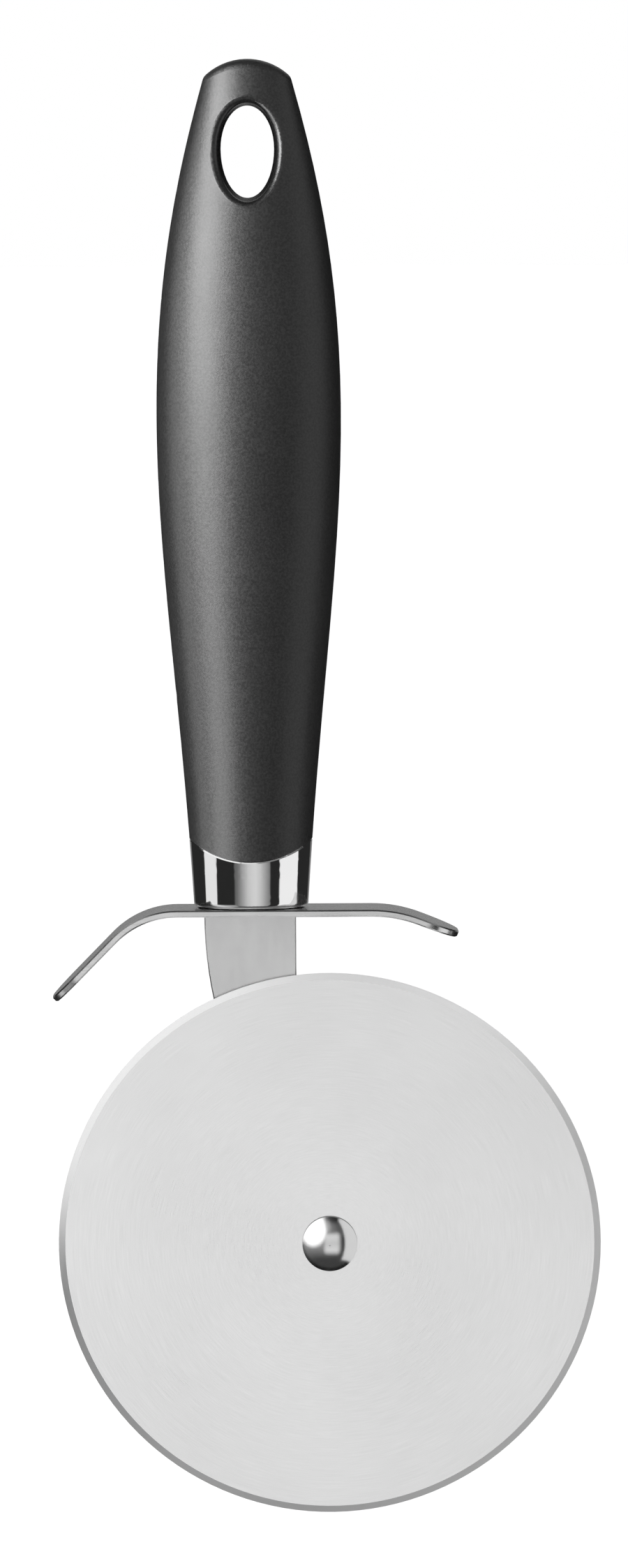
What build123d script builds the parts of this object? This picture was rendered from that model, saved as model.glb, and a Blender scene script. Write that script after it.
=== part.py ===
from build123d import *
from math import atan, degrees
import os

# Pizza cutter wheel, in millimetres. It stands upright as it hangs: +Z is up, the front
# faces -Y, and the origin is the centre of the hanging hole. A drop counts downwards.

os.makedirs("parts", exist_ok=True)

# One overrun serves every cut that has to pass a surface.
overrun = 4.0

# Handle: oval all the way, from the crown over the hole to the foot on the thumb guard.
handle_drop = 132.0
handle_rise = 16.1
belly_width = 32.3
belly_depth = 21.6
crown_share = 0.336
crown_start = 1.9
crown_round = 2.0

# Ovals at even steps, from just above the crown to the foot, with each one's width and depth
# as shares of the belly's.
oval_shares = [
    (0.381, 0.24),
    (0.828, 0.739),
    (0.996, 0.966),
    (0.927, 0.989),
    (0.759, 0.873),
    (0.618, 0.672),
]

# Core: a rounded oblong at the belly, inside the grip's walls, that tapers up towards the
# hanging hole and down to the ferrule's floor. A taper is how far each side draws in.
core_side_wall = 4.55
core_front_wall = 3.0
core_corner_share = 0.4
core_drop_share = 0.38
core_hole_gap = 6.4
core_top_taper = 3.0
core_foot_taper = 3.3

# Hanging hole: an egg of two half ellipses, blunt at the top, with a rounded lip. It is
# narrowest half way and opens towards both sides, by the flare at the belly's front and back.
hole_width = 9.3
hole_upper_height = 7.5
hole_lower_height = 8.5
hole_flare = 1.1
hole_lip = 1.05

# Ferrule: a chromed cup under the grip, with a seam that dips in front and behind.
seam_rise = 8.5
seam_radius = 17.6
seam_bevel_height = 0.35
seam_bevel_depth = 0.2
ferrule_floor = 1.3
ferrule_foot_round = 1.0

# Thumb guard: one strip of sheet, flat under the ferrule and bent down on both sides.
guard_thickness = 1.2
guard_depth = 15.0
guard_flat_left = 13.0
guard_flat_right = 21.1
guard_left_radius = 16.0
guard_left_angle = 45.5
guard_left_length = 15.1
guard_right_radius = 24.0
guard_right_angle = 21.0
guard_right_length = 7.2
guard_corner = 6.0
guard_edge_bevel = 0.25

# Wheel arm: a stamped plate with a tang that is moulded into the handle. Its length runs
# from the thumb guard down to the pivot. Its right side starts with a plain drop, and both
# the drop and the bend below it are shares of the length.
arm_length = 57.9
arm_thickness = 1.5
arm_left_reach = 8.25
arm_right_reach = 7.85
arm_end_radius = 7.5
arm_left_bend = 72.0
arm_right_drop_share = 0.17
arm_right_bend_share = 1.04
arm_edge_bevel = 0.2
tang_width = 10.0
tang_height = 76.0
tang_end_round = 3.0
tang_hole_radius = 2.6
tang_hole_rise = 28.0
tang_hole_spacing = 30.0
tang_gap = 0.1

# The wheel turns to the right of the handle's middle.
pivot_offset = 13.5

# Wheel: a flat disc, bevelled to its edge on both faces.
wheel_radius = 47.6
wheel_thickness = 1.0
wheel_bevel = 1.15
wheel_edge = 0.2

# Rivet: domed head in front, shoulder in the wheel, thin neck in the arm, rolled tail.
rivet_head_radius = 4.8
rivet_head_height = 2.1
rivet_head_rim = 0.3
rivet_shoulder_radius = 2.6
rivet_neck_radius = 2.0
rivet_tail_radius = 3.6
rivet_tail_height = 1.3
rivet_tail_round = 0.7
running_gap = 0.06
side_play = 0.1
neck_gap = 0.03

# Washers: behind the head, between wheel and arm, and under the rolled tail.
front_washer_radius = 4.0
front_washer_thickness = 0.4
spacer_radius = 6.0
spacer_thickness = 0.6
back_washer_radius = 5.0
back_washer_thickness = 0.6
washer_bevel = 0.12

# The stack on the pivot, as places along Y, from the arm towards both sides.
arm_front = -arm_thickness / 2
arm_back = arm_thickness / 2
spacer_front = arm_front - spacer_thickness
wheel_back = spacer_front - side_play
wheel_front = wheel_back - wheel_thickness
front_washer_back = wheel_front - side_play
head_seat = front_washer_back - front_washer_thickness
tail_seat = arm_back + back_washer_thickness

guard_underside = -handle_drop - guard_thickness
pivot_height = guard_underside - arm_length
arm_right_drop = arm_right_drop_share * arm_length
arm_right_bend = arm_right_bend_share * arm_length
oval_start = handle_rise + crown_start
crown_radius = crown_share * belly_width
crown_centre = handle_rise - crown_radius
hole_widest = (hole_lower_height - hole_upper_height) / 2
hole_top = hole_widest + hole_upper_height
hole_bottom = hole_widest - hole_lower_height
core_width = belly_width - 2 * core_side_wall
core_depth = belly_depth - 2 * core_front_wall
core_drop = core_drop_share * handle_drop
core_rise = core_drop + hole_bottom - core_hole_gap
core_fall = handle_drop - ferrule_floor - core_drop
core_plane = Plane.XY.offset(-core_drop)
seam_centre = seam_rise + seam_radius - handle_drop
pivot = Vector(pivot_offset, pivot_height)
pivot_plane = Plane(origin=(pivot_offset, 0, pivot_height), x_dir=(1, 0, 0), z_dir=(0, 0, 1))
pivot_axis = Axis((pivot_offset, 0, pivot_height), (0, 1, 0))


def leftmost(runs):
    """The straight run that meets the arm's round end furthest to the left."""
    return runs.sort_by(lambda run: (run @ 1).X)[:1]


def rightmost(runs):
    """The straight run that meets the arm's round end furthest to the right."""
    return runs.sort_by(lambda run: (run @ 1).X)[-1:]


def drafted_bar(length, taper):
    """A rounded bar from the belly, up or down, whose sides draw in by the taper."""
    with BuildPart() as bar:
        with BuildSketch(core_plane):
            RectangleRounded(core_width, core_depth, core_corner_share * core_depth)
        extrude(amount=length)
        sides = bar.faces().filter_by(Axis.Z, reverse=True)
        draft(sides, neutral_plane=core_plane, angle=degrees(atan(taper / length)))
    return bar.part


# The handle's outside, which grip and ferrule share: ovals under a round crown.
with BuildPart() as handle_body:
    for step, (width_share, depth_share) in enumerate(oval_shares):
        oval_drop = (oval_start + handle_drop) * step / (len(oval_shares) - 1)
        with BuildSketch(Plane.XY.offset(oval_start - oval_drop)):
            Ellipse(width_share * belly_width / 2, depth_share * belly_depth / 2)
    loft()
    with BuildSketch(Plane.XZ):
        with Locations((0, crown_centre)):
            Circle(crown_radius)
            Rectangle(2 * belly_width, crown_centre + handle_drop, align=(Align.CENTER, Align.MAX))
    extrude(amount=belly_depth, both=True, mode=Mode.INTERSECT)

# The core's outside, which grip and ferrule are hollowed by.
with BuildPart() as core_bar:
    add(drafted_bar(core_rise, core_top_taper))
    add(drafted_bar(-core_fall, core_foot_taper))

# The space under the seam, whose arc runs straight through from front to back.
with BuildPart() as below_seam:
    with BuildSketch(Plane.XZ):
        with Locations((0, seam_centre)):
            space_height = seam_centre + handle_drop + overrun
            Rectangle(2 * belly_width, space_height, align=(Align.CENTER, Align.MAX))
            Circle(seam_radius, mode=Mode.SUBTRACT)
    extrude(amount=belly_depth, both=True)

# The hanging hole, through from front to back.
with BuildPart() as hole_plug:
    for flare, place in ((hole_flare, -belly_depth), (0, 0), (hole_flare, belly_depth)):
        with BuildSketch(Plane.XZ.offset(place / 2)):
            with BuildLine():
                half_width = hole_width / 2 + flare
                upper_height = hole_upper_height + flare
                lower_height = hole_lower_height + flare
                EllipticalCenterArc((0, hole_widest), half_width, upper_height, 0, arc_size=180)
                EllipticalCenterArc((0, hole_widest), half_width, lower_height, 180, arc_size=180)
            make_face()
    loft(ruled=True)

# Wheel arm: its sides bend to the right and then run straight to the round end, the left one
# from its shoulder under the guard on. The tang has holes that the handle is moulded through.
with BuildPart() as wheel_arm:
    with BuildSketch(Plane.XZ):
        left_shoulder = Vector(-arm_left_reach, guard_underside)
        right_shoulder = Vector(arm_right_reach, guard_underside)
        with BuildLine():
            right_drop = Line(right_shoulder, right_shoulder - (0, arm_right_drop))
            left_centre = left_shoulder + (arm_left_bend, 0)
            right_centre = right_drop @ 1 + (arm_right_bend, 0)
            left_bend = CenterArc(left_centre, arm_left_bend, 0, 360, mode=Mode.PRIVATE)
            right_bend = CenterArc(right_centre, arm_right_bend, 0, 360, mode=Mode.PRIVATE)
            end = CenterArc(pivot, arm_end_radius, 0, 360, mode=Mode.PRIVATE)
            left_run = ConstrainedLines(left_bend, end, selector=leftmost)
            right_run = ConstrainedLines(right_bend, end, selector=rightmost)
            TangentArc(left_shoulder, left_run @ 0, tangent=(0, -1))
            TangentArc(right_drop @ 1, right_run @ 0, tangent=(0, -1))
            Line(left_shoulder, right_shoulder)
            Polyline(left_run @ 1, pivot, right_run @ 1)
        make_face()
        with Locations(pivot):
            Circle(arm_end_radius)
    extrude(amount=arm_thickness / 2, both=True)
    chamfer(wheel_arm.faces().filter_by(Axis.Y).edges(), arm_edge_bevel)
    with BuildSketch(Plane.XZ) as tang:
        with Locations((0, guard_underside)):
            Rectangle(tang_width, tang_height, align=(Align.CENTER, Align.MIN))
        fillet(tang.vertices().group_by(Axis.Y)[-1], tang_end_round)
    extrude(amount=arm_thickness / 2, both=True)
    with BuildSketch(Plane.XZ):
        with Locations((0, guard_underside + tang_hole_rise)):
            Circle(tang_hole_radius)
        with Locations((0, guard_underside + tang_hole_rise + tang_hole_spacing)):
            Circle(tang_hole_radius)
        with Locations(pivot):
            Circle(rivet_neck_radius + neck_gap)
    extrude(amount=arm_thickness, both=True, mode=Mode.SUBTRACT)
wheel_arm.part.label = "wheel_arm"

# Thumb guard: the strip follows one line of straight runs and bends, with rounded ends
# and a slot for the tang.
with BuildPart() as thumb_guard:
    with BuildSketch(Plane.XZ):
        with BuildLine():
            flat = Line((-guard_flat_left, -handle_drop), (guard_flat_right, -handle_drop))
            left_bend = JernArc(flat @ 0, (-1, 0), guard_left_radius, guard_left_angle)
            PolarLine(left_bend @ 1, guard_left_length, direction=left_bend % 1)
            right_bend = JernArc(flat @ 1, (1, 0), guard_right_radius, -guard_right_angle)
            PolarLine(right_bend @ 1, guard_right_length, direction=right_bend % 1)
            offset(amount=guard_thickness, side=Side.RIGHT)
        make_face()
    extrude(amount=guard_depth / 2, both=True)
    fillet(thumb_guard.edges().group_by(SortBy.LENGTH)[0], guard_corner)
    chamfer(thumb_guard.faces().filter_by(Axis.Y).edges(), guard_edge_bevel)
    with BuildSketch(Plane.XY.offset(-handle_drop)):
        Rectangle(tang_width + 2 * tang_gap, arm_thickness + 2 * tang_gap)
    extrude(amount=-guard_thickness - overrun, mode=Mode.SUBTRACT)
thumb_guard.part.label = "thumb_guard"

# Ferrule: the foot of the handle's body, hollow above its floor, with a slot for the tang.
with BuildPart() as ferrule:
    add(handle_body.part)
    add(below_seam.part, mode=Mode.INTERSECT)
    fillet(ferrule.edges().group_by(Axis.Z)[0], ferrule_foot_round)
    seam_face = ferrule.faces().filter_by(GeomType.CYLINDER)[0]
    outside = ferrule.faces().sort_by(SortBy.AREA)[-1]
    chamfer(seam_face.edges(), seam_bevel_height, seam_bevel_depth, reference=outside)
    add(core_bar.part, mode=Mode.SUBTRACT)
    with BuildSketch(Plane.XY.offset(-handle_drop)):
        Rectangle(tang_width + 2 * tang_gap, arm_thickness + 2 * tang_gap)
    extrude(amount=ferrule_floor, mode=Mode.SUBTRACT)
ferrule.part.label = "ferrule"

# Handle core: moulded round the tang and through its holes.
with BuildPart() as handle_core:
    add(core_bar.part)
    add(wheel_arm.part, mode=Mode.SUBTRACT)
handle_core.part.label = "handle_core"

# Grip: the soft skin over the core, down to the seam, with a rounded lip at the hole.
with BuildPart() as handle_grip:
    add(handle_body.part)
    crown_edges = handle_grip.edges().filter_by_position(Axis.Z, crown_centre, handle_rise)
    fillet(crown_edges.filter_by(lambda edge: edge.length > crown_round), crown_round)
    add(hole_plug.part, mode=Mode.SUBTRACT)
    hole_reach = (hole_bottom - hole_flare, hole_top + hole_flare)
    hole_edges = handle_grip.edges().filter_by_position(Axis.Z, *hole_reach)
    curved_edges = hole_edges.filter_by(GeomType.BSPLINE)
    fillet(curved_edges.filter_by(lambda edge: edge.length > hole_width), hole_lip)
    add(core_bar.part, mode=Mode.SUBTRACT)
    add(below_seam.part, mode=Mode.SUBTRACT)
handle_grip.part.label = "handle_grip"

# Wheel: a thin disc whose two bevels meet at a narrow edge.
with BuildPart() as cutting_wheel:
    with BuildSketch(pivot_plane):
        wheel_middle = (wheel_front + wheel_back) / 2
        with BuildLine():
            Polyline(
                (rivet_shoulder_radius + running_gap, wheel_front),
                (wheel_radius - wheel_bevel, wheel_front),
                (wheel_radius, wheel_middle - wheel_edge / 2),
                (wheel_radius, wheel_middle + wheel_edge / 2),
                (wheel_radius - wheel_bevel, wheel_back),
                (rivet_shoulder_radius + running_gap, wheel_back),
                close=True,
            )
        make_face()
    revolve(axis=pivot_axis)
cutting_wheel.part.label = "cutting_wheel"

# Rivet: the head's dome starts level at its top, and the tail is rolled over its washer.
with BuildPart() as pivot_rivet:
    with BuildSketch(pivot_plane) as rivet_profile:
        with BuildLine():
            dome_edge = (rivet_head_radius, head_seat - rivet_head_rim)
            TangentArc((0, head_seat - rivet_head_height), dome_edge, tangent=(1, 0))
            Polyline(
                dome_edge,
                (rivet_head_radius, head_seat),
                (rivet_shoulder_radius, head_seat),
                (rivet_shoulder_radius, arm_front),
                (rivet_neck_radius, arm_front),
                (rivet_neck_radius, tail_seat),
                (rivet_tail_radius, tail_seat),
                (rivet_tail_radius, tail_seat + rivet_tail_height),
                (0, tail_seat + rivet_tail_height),
                (0, head_seat - rivet_head_height),
            )
        make_face()
        tail_corner = rivet_profile.vertices().group_by(Axis.Y)[-1].sort_by(Axis.X)[-1]
        fillet(tail_corner, rivet_tail_round)
    revolve(axis=pivot_axis)
pivot_rivet.part.label = "pivot_rivet"

for piece in (wheel_arm, thumb_guard, ferrule, handle_core, handle_grip, cutting_wheel, pivot_rivet):
    export_step(piece.part, f"parts/{piece.part.label}.step")

# Washers: outside radius, bore radius, and their two faces along Y.
shoulder_bore = rivet_shoulder_radius + running_gap
washers = {
    "front_washer": (front_washer_radius, shoulder_bore, head_seat, front_washer_back),
    "spacer_washer": (spacer_radius, shoulder_bore, spacer_front, arm_front),
    "back_washer": (back_washer_radius, rivet_neck_radius + neck_gap, arm_back, tail_seat),
}
for name, (radius, bore, front, back) in washers.items():
    with BuildPart() as washer:
        with BuildSketch(pivot_plane):
            with Locations((bore, front)):
                Rectangle(radius - bore, back - front, align=(Align.MIN, Align.MIN))
        revolve(axis=pivot_axis)
        chamfer(washer.edges().filter_by(GeomType.CIRCLE).group_by(SortBy.RADIUS)[-1], washer_bevel)
    washer.part.label = name
    export_step(washer.part, f"parts/{name}.step")
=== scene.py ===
import math

import bpy
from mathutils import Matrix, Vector


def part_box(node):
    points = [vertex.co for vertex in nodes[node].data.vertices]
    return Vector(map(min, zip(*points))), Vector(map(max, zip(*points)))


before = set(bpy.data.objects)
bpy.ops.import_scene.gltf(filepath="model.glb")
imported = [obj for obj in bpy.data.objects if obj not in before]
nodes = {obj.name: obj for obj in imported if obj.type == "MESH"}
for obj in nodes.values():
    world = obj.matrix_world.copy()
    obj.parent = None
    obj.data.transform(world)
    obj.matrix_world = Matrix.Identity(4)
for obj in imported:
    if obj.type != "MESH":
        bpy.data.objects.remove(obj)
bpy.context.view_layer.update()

# The object's nodes, and its wheel's place and size in metres, as the frame has them.
wheel_low, wheel_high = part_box("cutting_wheel")
pivot = (wheel_low + wheel_high) / 2
wheel_radius = (wheel_high.x - wheel_low.x) / 2

scene = bpy.context.scene
scene.view_settings.view_transform = "Standard"


# --- Camera, at the photograph's angle: metres, degrees, and millimetres for the lens ---
CAMERA_PLACE = (0.0111, -1.4, -0.0150)
CAMERA_PITCH = -3.9
CAMERA_ROLL = 0.27
CAMERA_LENS = 183.97
CAMERA_SENSOR = 36
CAMERA_NEAR = 0.05
CAMERA_FAR = 300

camera_data = bpy.data.cameras.new("camera")
camera_data.sensor_width = CAMERA_SENSOR
camera_data.sensor_fit = "AUTO"
camera_data.lens = CAMERA_LENS
camera_data.clip_start = CAMERA_NEAR
camera_data.clip_end = CAMERA_FAR
camera = bpy.data.objects.new("camera", camera_data)
scene.collection.objects.link(camera)
camera.location = CAMERA_PLACE
camera.rotation_mode = "YXZ"
camera.rotation_euler = (math.radians(90 + CAMERA_PITCH), 0, 0)
camera.rotation_euler.rotate_axis("Z", math.radians(-CAMERA_ROLL))
scene.camera = camera


# --- Node helpers ---
def node_tools(tree):
    """Empty a node tree and return the two functions that fill it: add and link."""
    tree.nodes.clear()

    def add(kind, **values):
        node = tree.nodes.new(kind)
        for key, value in values.items():
            if key in node.inputs:
                node.inputs[key].default_value = value
            else:
                setattr(node, key, value)
        return node

    def link(source, target):
        tree.links.new(source, target)

    return add, link


def new_material(name):
    """A material with an empty node tree: (material, add, link)."""
    material = bpy.data.materials.new(name)
    material.use_nodes = True
    add, link = node_tools(material.node_tree)
    return material, add, link


def grey(value):
    """A neutral colour."""
    return (value, value, value, 1)


def math_node(add, link, operation, *values):
    """One arithmetic step; a value is a socket or a number."""
    node = add("ShaderNodeMath", operation=operation)
    for place, value in enumerate(values):
        if isinstance(value, (int, float)):
            node.inputs[place].default_value = value
        else:
            link(value, node.inputs[place])
    return node.outputs[0]


def scaled(add, link, vector, scale):
    """A vector with each axis scaled by itself."""
    node = add("ShaderNodeMapping", Scale=scale)
    link(vector, node.inputs["Vector"])
    return node.outputs["Vector"]


def noise(add, link, vector, scale, detail, roughness=0.5):
    """A noise texture's value over a vector. Its features are about 1 / scale across."""
    node = add("ShaderNodeTexNoise", Scale=scale, Detail=detail, Roughness=roughness)
    link(vector, node.inputs["Vector"])
    return node.outputs["Fac"]


def map_range(add, link, value, low, high, to_low, to_high):
    """A value carried from one range to another."""
    node = add("ShaderNodeMapRange")
    node.inputs["From Min"].default_value = low
    node.inputs["From Max"].default_value = high
    node.inputs["To Min"].default_value = to_low
    node.inputs["To Max"].default_value = to_high
    link(value, node.inputs["Value"])
    return node.outputs["Result"]


# A noise's values mostly keep between these two.
NOISE_LOW = 0.3
NOISE_HIGH = 0.7


def vary(add, link, value, low, high):
    """A noise's value carried to a range."""
    return map_range(add, link, value, NOISE_LOW, NOISE_HIGH, low, high)


def mix_grey(add, link, factor, low, high):
    """A grey between two, by a factor socket."""
    node = add("ShaderNodeMix", data_type="RGBA")
    link(factor, node.inputs["Factor"])
    colours = [socket for socket in node.inputs if socket.type == "RGBA"]
    colours[0].default_value = grey(low)
    colours[1].default_value = grey(high)
    return [socket for socket in node.outputs if socket.type == "RGBA"][0]


def bump(add, link, height, strength, distance):
    """The normal of a surface whose relief follows a height socket."""
    node = add("ShaderNodeBump", Strength=strength, Distance=distance)
    link(height, node.inputs["Height"])
    return node.outputs["Normal"]


def add_shaders(add, link, first, second):
    """Two shaders' light together."""
    node = add("ShaderNodeAddShader")
    link(first, node.inputs[0])
    link(second, node.inputs[1])
    return node.outputs[0]


def mix_shaders(add, link, factor, first, second):
    """The first shader where the factor is 0, and the second where it is 1."""
    node = add("ShaderNodeMixShader")
    link(factor, node.inputs["Fac"])
    link(first, node.inputs[1])
    link(second, node.inputs[2])
    return node.outputs[0]


# --- Materials: lengths in metres, and greys as the share of light that comes back ---
GRAIN_RELIEF = 0.00003
FINE_RELIEF = 0.00001
HOLE_HALF_WIDTH = 0.0063
HOLE_HALF_HEIGHT = 0.0098
WHEEL_BEVEL = 0.00116
WHEEL_BEVEL_ROUGHER = 0.06
WHEEL_RINGS = 6000
WHEEL_ARCS = 6


def new_finish(name, metallic):
    """A material with its principled shader: (material, add, link, place, shader)."""
    material, add, link = new_material(name)
    place = add("ShaderNodeTexCoord").outputs["Object"]
    shader = add("ShaderNodeBsdfPrincipled", Metallic=metallic)
    output = add("ShaderNodeOutputMaterial")
    link(shader.outputs["BSDF"], output.inputs["Surface"])
    return material, add, link, place, shader


def cloudy_finish(name, metallic, scale, detail, tones, roughness):
    """A finish whose tone and roughness drift a little with one soft cloud."""
    material, add, link, place, shader = new_finish(name, metallic)
    cloud = noise(add, link, place, scale, detail)
    link(mix_grey(add, link, cloud, *tones), shader.inputs["Base Color"])
    link(vary(add, link, cloud, *roughness), shader.inputs["Roughness"])
    return material, add, link, place, shader


def grip_material():
    """Soft-touch black: a fine moulded grain that breaks up a broad sheen."""
    material, add, link, place, shader = new_finish("grip_black", 0.0)
    cloud = noise(add, link, place, 60, 3)
    grain = noise(add, link, place, 2600, 2)
    speck = map_range(add, link, grain, 0.35, 0.65, 0.25, 0.35)
    link(speck, shader.inputs["Specular IOR Level"])
    link(mix_grey(add, link, cloud, 0.013, 0.018), shader.inputs["Base Color"])
    rough = math_node(add, link, "ADD", vary(add, link, cloud, 0.40, 0.44),
                      vary(add, link, grain, -0.04, 0.04))
    # The hanging hole's lip and wall are smoother than the rest.
    hole = scaled(add, link, place, (1 / HOLE_HALF_WIDTH, 0, 1 / HOLE_HALF_HEIGHT))
    away = add("ShaderNodeVectorMath", operation="LENGTH")
    link(hole, away.inputs[0])
    lip = map_range(add, link, away.outputs["Value"], 0.96, 1.03, -0.13, 0)
    link(math_node(add, link, "ADD", rough, lip), shader.inputs["Roughness"])
    link(bump(add, link, grain, 0.45, GRAIN_RELIEF), shader.inputs["Normal"])
    return material


def core_material():
    """Plain moulded black, which hardly shows."""
    return cloudy_finish("core_black", 0.0, 200, 3, (0.024, 0.034), (0.2, 0.3))[0]


def chrome_material():
    """Bright plating, with the faintest polishing marks round it."""
    material, add, link, place, shader = cloudy_finish(
        "ferrule_chrome", 1.0, 150, 3, (0.86, 0.90), (0.035, 0.06))
    lines = noise(add, link, scaled(add, link, place, (200, 200, 4000)), 1, 2)
    link(bump(add, link, lines, 0.04, FINE_RELIEF), shader.inputs["Normal"])
    return material


def sheet_material(name, tones, stretch_by, streaks):
    """Stamped stainless sheet: mottled, with the rolling's fine lines along it."""
    material, add, link, place, shader = new_finish(name, 1.0)
    cloud = noise(add, link, place, 90, 4)
    lines = noise(add, link, scaled(add, link, place, stretch_by), 1, 3)
    link(mix_grey(add, link, vary(add, link, cloud, 0, 1), *tones),
         shader.inputs["Base Color"])
    rough = math_node(add, link, "ADD", vary(add, link, cloud, 0.22, 0.27),
                      vary(add, link, lines, -streaks, streaks))
    link(rough, shader.inputs["Roughness"])
    link(bump(add, link, lines, streaks / 2, FINE_RELIEF), shader.inputs["Normal"])
    return material


def wheel_material():
    """Satin stainless, turned on its face and ground coarser on its bevel."""
    material, add, link, place, shader = new_finish("wheel_steel", 1.0)
    # Distance from the pivot and turn round it, for rings that run round the face.
    split = add("ShaderNodeSeparateXYZ")
    link(place, split.inputs["Vector"])
    across = math_node(add, link, "SUBTRACT", split.outputs["X"], pivot.x)
    up = math_node(add, link, "SUBTRACT", split.outputs["Z"], pivot.z)
    square = math_node(add, link, "ADD", math_node(add, link, "MULTIPLY", across, across),
                       math_node(add, link, "MULTIPLY", up, up))
    radius = math_node(add, link, "SQRT", square)
    turn = math_node(add, link, "ARCTAN2", up, across)
    polar = add("ShaderNodeCombineXYZ")
    link(math_node(add, link, "MULTIPLY", radius, WHEEL_RINGS), polar.inputs["X"])
    link(math_node(add, link, "MULTIPLY", turn, WHEEL_ARCS), polar.inputs["Y"])
    rings = noise(add, link, polar.outputs["Vector"], 1, 3)
    cloud = noise(add, link, place, 45, 4)
    link(mix_grey(add, link, cloud, 0.88, 0.91), shader.inputs["Base Color"])
    face_rough = math_node(add, link, "ADD", vary(add, link, cloud, 0.23, 0.26),
                           vary(add, link, rings, -0.02, 0.02))
    on_bevel = math_node(add, link, "GREATER_THAN", radius, wheel_radius - WHEEL_BEVEL)
    rough = math_node(add, link, "ADD", face_rough,
                      math_node(add, link, "MULTIPLY", on_bevel, WHEEL_BEVEL_ROUGHER))
    link(rough, shader.inputs["Roughness"])
    link(bump(add, link, rings, 0.008, FINE_RELIEF), shader.inputs["Normal"])
    return material


def rivet_material():
    """Polished stainless with light handling marks."""
    material, add, link, place, shader = cloudy_finish(
        "rivet_steel", 1.0, 500, 4, (0.74, 0.80), (0.12, 0.17))
    dents = noise(add, link, place, 3500, 3, 0.6)
    link(bump(add, link, dents, 0.35, FINE_RELIEF), shader.inputs["Normal"])
    return material


def washer_material():
    """Plain stainless washers."""
    return cloudy_finish("washer_steel", 1.0, 600, 3, (0.56, 0.64), (0.28, 0.36))[0]


washer = washer_material()
finishes = {
    "handle_grip": grip_material(),
    "handle_core": core_material(),
    "ferrule": chrome_material(),
    "thumb_guard": sheet_material("guard_steel", (0.66, 0.78), (150, 3000, 3000), 0.05),
    "wheel_arm": sheet_material("arm_steel", (0.60, 0.72), (900, 900, 150), 0.015),
    "cutting_wheel": wheel_material(),
    "pivot_rivet": rivet_material(),
    "front_washer": washer,
    "spacer_washer": washer,
    "back_washer": washer,
}
for name, material in finishes.items():
    data = nodes[name].data
    data.materials.clear()
    data.materials.append(material)


# --- Stage: floor and world ---
FLOOR_HEIGHT = -0.30
FLOOR_SIDE = 80
FLOOR_GLOW = 0.60
WORLD_LIGHT = 0.55


def link_mesh(name, points, faces):
    """A mesh object that belongs to the stage."""
    mesh = bpy.data.meshes.new(name)
    mesh.from_pydata(points, [], faces)
    made = bpy.data.objects.new(name, mesh)
    scene.collection.objects.link(made)
    return made


def floor_material():
    """Pale floor that shows nearly white to the camera and keeps the object's shadow."""
    material, add, link = new_material("floor_pale")
    place = add("ShaderNodeTexCoord").outputs["Object"]
    cloud = noise(add, link, place, 8, 3)
    matte = add("ShaderNodeBsdfDiffuse", Roughness=0.5)
    link(mix_grey(add, link, cloud, 0.78, 0.80), matte.inputs["Color"])
    glow = add("ShaderNodeEmission", Strength=FLOOR_GLOW)
    both = add_shaders(add, link, matte.outputs[0], glow.outputs[0])
    from_camera = add("ShaderNodeLightPath").outputs["Is Camera Ray"]
    pick = mix_shaders(add, link, from_camera, matte.outputs[0], both)
    output = add("ShaderNodeOutputMaterial")
    link(pick, output.inputs["Surface"])
    return material


floor = link_mesh(
    "floor",
    [(-FLOOR_SIDE, -FLOOR_SIDE, FLOOR_HEIGHT), (FLOOR_SIDE, -FLOOR_SIDE, FLOOR_HEIGHT),
     (FLOOR_SIDE, FLOOR_SIDE, FLOOR_HEIGHT), (-FLOOR_SIDE, FLOOR_SIDE, FLOOR_HEIGHT)],
    [(0, 1, 2, 3)],
)
floor.data.materials.append(floor_material())
floor.visible_glossy = False

# The world is white where it is seen, and softer as a light.
world = bpy.data.worlds.new("world")
scene.world = world
world.use_nodes = True
add, link = node_tools(world.node_tree)
paths = add("ShaderNodeLightPath").outputs
seen = math_node(add, link, "MAXIMUM", paths["Is Camera Ray"], paths["Is Glossy Ray"])
seen = math_node(add, link, "MAXIMUM", seen, paths["Is Transmission Ray"])
soft = add("ShaderNodeBackground", Color=grey(1), Strength=WORLD_LIGHT)
white = add("ShaderNodeBackground", Color=grey(1), Strength=1)
pick = mix_shaders(add, link, seen, soft.outputs[0], white.outputs[0])
output = add("ShaderNodeOutputWorld")
link(pick, output.inputs["Surface"])


# --- Studio: what the metal mirrors, as a brightness for each direction from the object ---
# Directions are in degrees. Azimuth 0 is the camera's side and grows to the right, and
# elevation grows upwards. A span is its two ends and how softly both fade, and an onset is
# where a card starts and where it is whole.
SHELL_CENTRE = Vector((0.005, 0, -0.16))
DARKEST = 0.022

# The large box round the camera: its brightness from left to right.
BOX_TONES = [
    (-24, 0.13), (-21, 0.16), (-16, 0.27), (-11, 0.385), (-5, 0.575), (2, 0.665),
    (7, 0.69), (13, 0.59), (19, 0.45), (25, 0.28), (28, 0.215),
]
BOX_ACROSS = (-25, 29, 1.5)
BOX_UP = (-40, 33, 8)

# The part of the box that the flat faces mirror falls off to the right and upwards.
FACE_TONE = 1.01
FACE_FALL_ACROSS = 0.02
FACE_FALL_UP = 0.06
FACE_MIDDLE = -7
FACE_ACROSS = (-14, 14, 4)
FACE_UP = (-11, 8, 1.5)

# Plain cards: brightness, span of azimuth, span of elevation.
CARDS = [
    (0.92, (-14, 38, 4), (14, 38, 4)),      # bank above the box
    (1.00, (-72, -11, 2), (-6, 62, 3)),     # tall panel on the left
    (0.85, (-86, -57, 1.2), (-16, 2, 3)),   # far left
    (0.94, (45, 88, 1.2), (-52, 36, 4)),    # right
    (0.32, (-66, -22, 5), (-50, -18, 3)),   # low on the left
]

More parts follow.
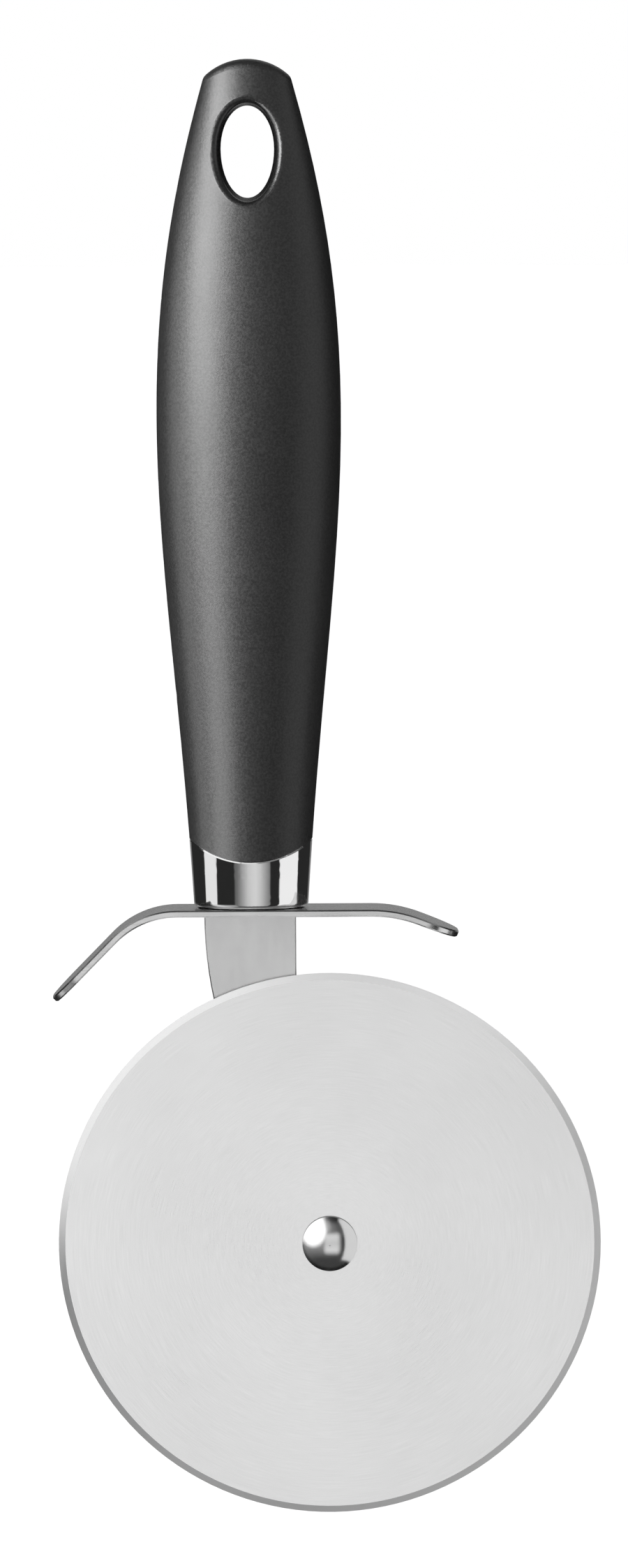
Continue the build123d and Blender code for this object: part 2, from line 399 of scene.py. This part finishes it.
# What lies behind the object, on both sides alike: onset of azimuth, span of elevation.
BACK_TONE = 0.26
BACK_ONSET = (140, 155)
BACK_UP = (-8, 20, 4)
BEHIND_TONE = 0.62
BEHIND_CARDS = [
    ((96, 108), (-64, -18, 4)),
    ((146, 156), (-64, -12, 4)),
    ((130, 142), (24, 66, 4)),
]


def towards(azimuth, elevation):
    """A direction from the object."""
    turn, rise = math.radians(azimuth), math.radians(elevation)
    return Vector((math.sin(turn) * math.cos(rise), -math.cos(turn) * math.cos(rise),
                   math.sin(rise)))


def ease(value, low, high):
    """0 below low and 1 above high, smooth between."""
    share = min(1, max(0, (value - low) / (high - low)))
    return share * share * (3 - 2 * share)


def window(value, low, high, soft):
    """1 from low to high, easing to 0 over soft on either side of both ends."""
    return ease(value, low - soft, low + soft) * (1 - ease(value, high - soft, high + soft))


def card(azimuth, elevation, level, across, up):
    """What a card adds in one direction."""
    return level * window(azimuth, *across) * window(elevation, *up)


def round_card(azimuth, elevation, level, middle, half_size, fade):
    """What an oval card adds in one direction. It fades outwards from its middle."""
    away = math.hypot((azimuth - middle[0]) / half_size[0],
                      (elevation - middle[1]) / half_size[1])
    return level * (1 - ease(away, *fade))


def along(value, stops):
    """Straight steps through (place, height) stops."""
    if value <= stops[0][0]:
        return stops[0][1]
    for (low, first), (high, second) in zip(stops, stops[1:]):
        if value <= high:
            return first + (second - first) * (value - low) / (high - low)
    return stops[-1][1]


def studio(azimuth, elevation):
    """What polished metal sees of the studio in one direction, 1 for white."""
    turned = abs(azimuth)
    tone = along(azimuth, BOX_TONES)
    face = FACE_TONE - FACE_FALL_ACROSS * azimuth - FACE_FALL_UP * (elevation - FACE_MIDDLE)
    tone += (face - tone) * window(azimuth, *FACE_ACROSS) * window(elevation, *FACE_UP)
    box = card(azimuth, elevation, tone, BOX_ACROSS, BOX_UP)
    cards = max(card(azimuth, elevation, *each) for each in CARDS)
    # A dim ceiling, darker straight above, and a floor that is bright straight below.
    top = 0.22 * ease(elevation, 36, 46) * (1 - 0.8 * ease(elevation, 62, 74))
    bottom = 0.06 * ease(-elevation, 38, 50) + 0.80 * ease(-elevation, 68, 76)
    back = BACK_TONE * ease(turned, *BACK_ONSET) * window(elevation, *BACK_UP)
    behind = BEHIND_TONE * max(ease(turned, *onset) * window(elevation, *up)
                               for onset, up in BEHIND_CARDS)
    return max(DARKEST, box, cards, top, bottom, back, behind)


def grip_studio(azimuth, elevation):
    """What the grip's sheen sees: a stronger right side, a rim on the left, dark behind."""
    tone = studio(azimuth, elevation) * (1 + 0.5 * ease(azimuth, 36, 44))
    tone *= 1 - window(elevation, -16, 22, 4) * ease(abs(azimuth), 112, 124)
    rim = card(azimuth, elevation, 0.2, (-146, -98, 8), (-30, 40, 6))
    return max(tone, rim)


def guard_studio(azimuth, elevation):
    """What the guard sees: the same cards, but none where its two tips turn away."""
    tips = ease(abs(azimuth), 104, 112) * window(elevation, -66, -6, 3)
    dip = card(azimuth, elevation, 0.7, (12, 46, 4), (-40, -8, 2))
    spot = card(azimuth, elevation, 0.75, (-104, -66, 4), (-58, -40, 4))
    return max(studio(azimuth, elevation) * (1 - 0.97 * tips) * (1 - dip), spot)


def rivet_studio(azimuth, elevation):
    """What the rivet's head sees: the same cards, nearer and softer."""
    behind = 0.5 * ease(abs(azimuth), 100, 120)
    square_tone = 0.69 + 0.008 * abs(elevation + 2)
    square = card(azimuth, elevation, square_tone, (-17, 29, 9), (-31, 25, 11))
    crescent = card(azimuth, elevation, 0.80, (43, 92, 3), (-48, 60, 4))
    patch = round_card(azimuth, elevation, 1.6, (-49, 28), (39, 40), (0.72, 1.3))
    glow = round_card(azimuth, elevation, 0.5, (-25, 42), (40, 30), (0.4, 1.2))
    low = 0.058 + 0.25 * ease(elevation, -52, -4) * (1 - ease(azimuth, -30, 20))
    high = 0.05 + 0.16 * ease(elevation, 8, 26) * (1 - ease(elevation, 44, 66))
    high *= 1 - 0.5 * ease(azimuth, 8, 34)
    from_camera = math.degrees(math.acos(
        math.cos(math.radians(azimuth)) * math.cos(math.radians(elevation))))
    shade = max(low if elevation < 0 else 0, high) * (1 - 0.8 * ease(from_camera, 73, 82))
    return max(square, patch, glow, crescent, shade, behind)


# --- Shells that carry those brightnesses, and lamps ---
# A shell runs from this many degrees below the level to as many above, in so many rows.
SHELL_RISE = 88.5
SHELL_ROWS = 118


def light_only(lamp, names):
    """Keep a lamp to these pieces."""
    group = bpy.data.collections.new(lamp.name + "_pieces")
    for name in names:
        group.objects.link(nodes[name])
    lamp.light_linking.receiver_collection = group


def shell_material(name, clear):
    """Light as bright as the mesh's shade says. A clear one lets other light through."""
    material, add, link = new_material(name)
    shade = add("ShaderNodeAttribute", attribute_name="shade").outputs["Fac"]
    glow = add("ShaderNodeEmission", Strength=1.0)
    link(shade, glow.inputs["Color"])
    light = glow.outputs[0]
    if clear:
        light = add_shaders(add, link, add("ShaderNodeBsdfTransparent").outputs[0], light)
    output = add("ShaderNodeOutputMaterial")
    link(light, output.inputs["Surface"])
    material.cycles.emission_sampling = "NONE"
    return material


def studio_shell(name, tone, step, radius, clear, receivers):
    """One panel all round the object that only the receivers' reflections see."""
    turns = range(-180, 181, step)
    across = len(turns)
    row_height = 2 * SHELL_RISE / SHELL_ROWS
    points, shades, faces = [], [], []
    for row in range(SHELL_ROWS + 1):
        rise = row_height * row - SHELL_RISE
        for turn in turns:
            points.append(SHELL_CENTRE + towards(turn, rise) * radius)
            shades.append(tone(turn, rise))
    for row in range(SHELL_ROWS):
        for column in range(across - 1):
            corner = row * across + column
            faces.append((corner, corner + 1, corner + 1 + across, corner + across))
    faces.append(range(across - 1))
    faces.append(range(len(points) - across, len(points) - 1))
    made = link_mesh(name, points, faces)
    values = made.data.attributes.new("shade", "FLOAT", "POINT")
    values.data.foreach_set("value", shades)
    made.data.materials.append(shell_material(name, clear))
    made.visible_camera = False
    made.visible_diffuse = False
    made.visible_shadow = False
    made.visible_transmission = False
    light_only(made, receivers)


def area_lamp(name, azimuth, elevation, distance, width, height, radiance):
    """A soft rectangular lamp that looks at the object from that azimuth and elevation."""
    way = towards(azimuth, elevation)
    data = bpy.data.lights.new(name, "AREA")
    data.shape = "RECTANGLE"
    data.size = width
    data.size_y = height
    data.energy = radiance * math.pi * width * height
    made = bpy.data.objects.new(name, data)
    scene.collection.objects.link(made)
    made.location = SHELL_CENTRE + way * distance
    made.rotation_mode = "QUATERNION"
    made.rotation_quaternion = way.to_track_quat("Z", "Y")
    made.visible_camera = False
    return made


# The outermost shell is opaque and the inner ones are clear. Three pieces have a shell of
# their own, and each shell gives its light only to its own pieces.
own_shell = ("handle_grip", "thumb_guard", "pivot_rivet")
others = [name for name in nodes if name not in own_shell]
studio_shell("studio_shell", studio, step=1, radius=3.0, clear=False, receivers=others)
studio_shell("grip_shell", grip_studio, step=2, radius=2.7, clear=True,
             receivers=["handle_grip"])
studio_shell("rivet_shell", rivet_studio, step=2, radius=2.4, clear=True,
             receivers=["pivot_rivet"])
studio_shell("guard_shell", guard_studio, step=1, radius=2.1, clear=True,
             receivers=["thumb_guard"])

# Lamps that only one piece's reflections show: name, piece, azimuth and elevation in
# degrees, distance, width and height in metres, and radiance.
SHEEN_LAMPS = [
    ("key_sheen", "handle_grip", -42, 29, 0.60, 0.34, 0.40, 29),
    ("key_sheen_low", "handle_grip", -42, -16, 0.60, 0.34, 0.40, 14),
    ("seam_card", "ferrule", 18, 55, 1.0, 0.66, 0.18, 0.55),
    ("side_card", "cutting_wheel", 37, -10, 0.9, 0.16, 0.9, 0.35),
    ("rim_sheen", "handle_grip", -80, 4, 0.70, 0.36, 0.80, 4.5),
    ("low_card", "cutting_wheel", 6, -46, 0.9, 0.80, 0.30, 0.29),
]
for name, piece, *placing in SHEEN_LAMPS:
    lamp = area_lamp(name, *placing)
    lamp.visible_diffuse = False
    light_only(lamp, [piece])

# The one lamp that lights every piece and the floor, and that no reflection shows.
fill = area_lamp("key_fill", azimuth=-40, elevation=35, distance=0.9, width=0.7,
                 height=0.7, radiance=1.6)
fill.visible_glossy = False
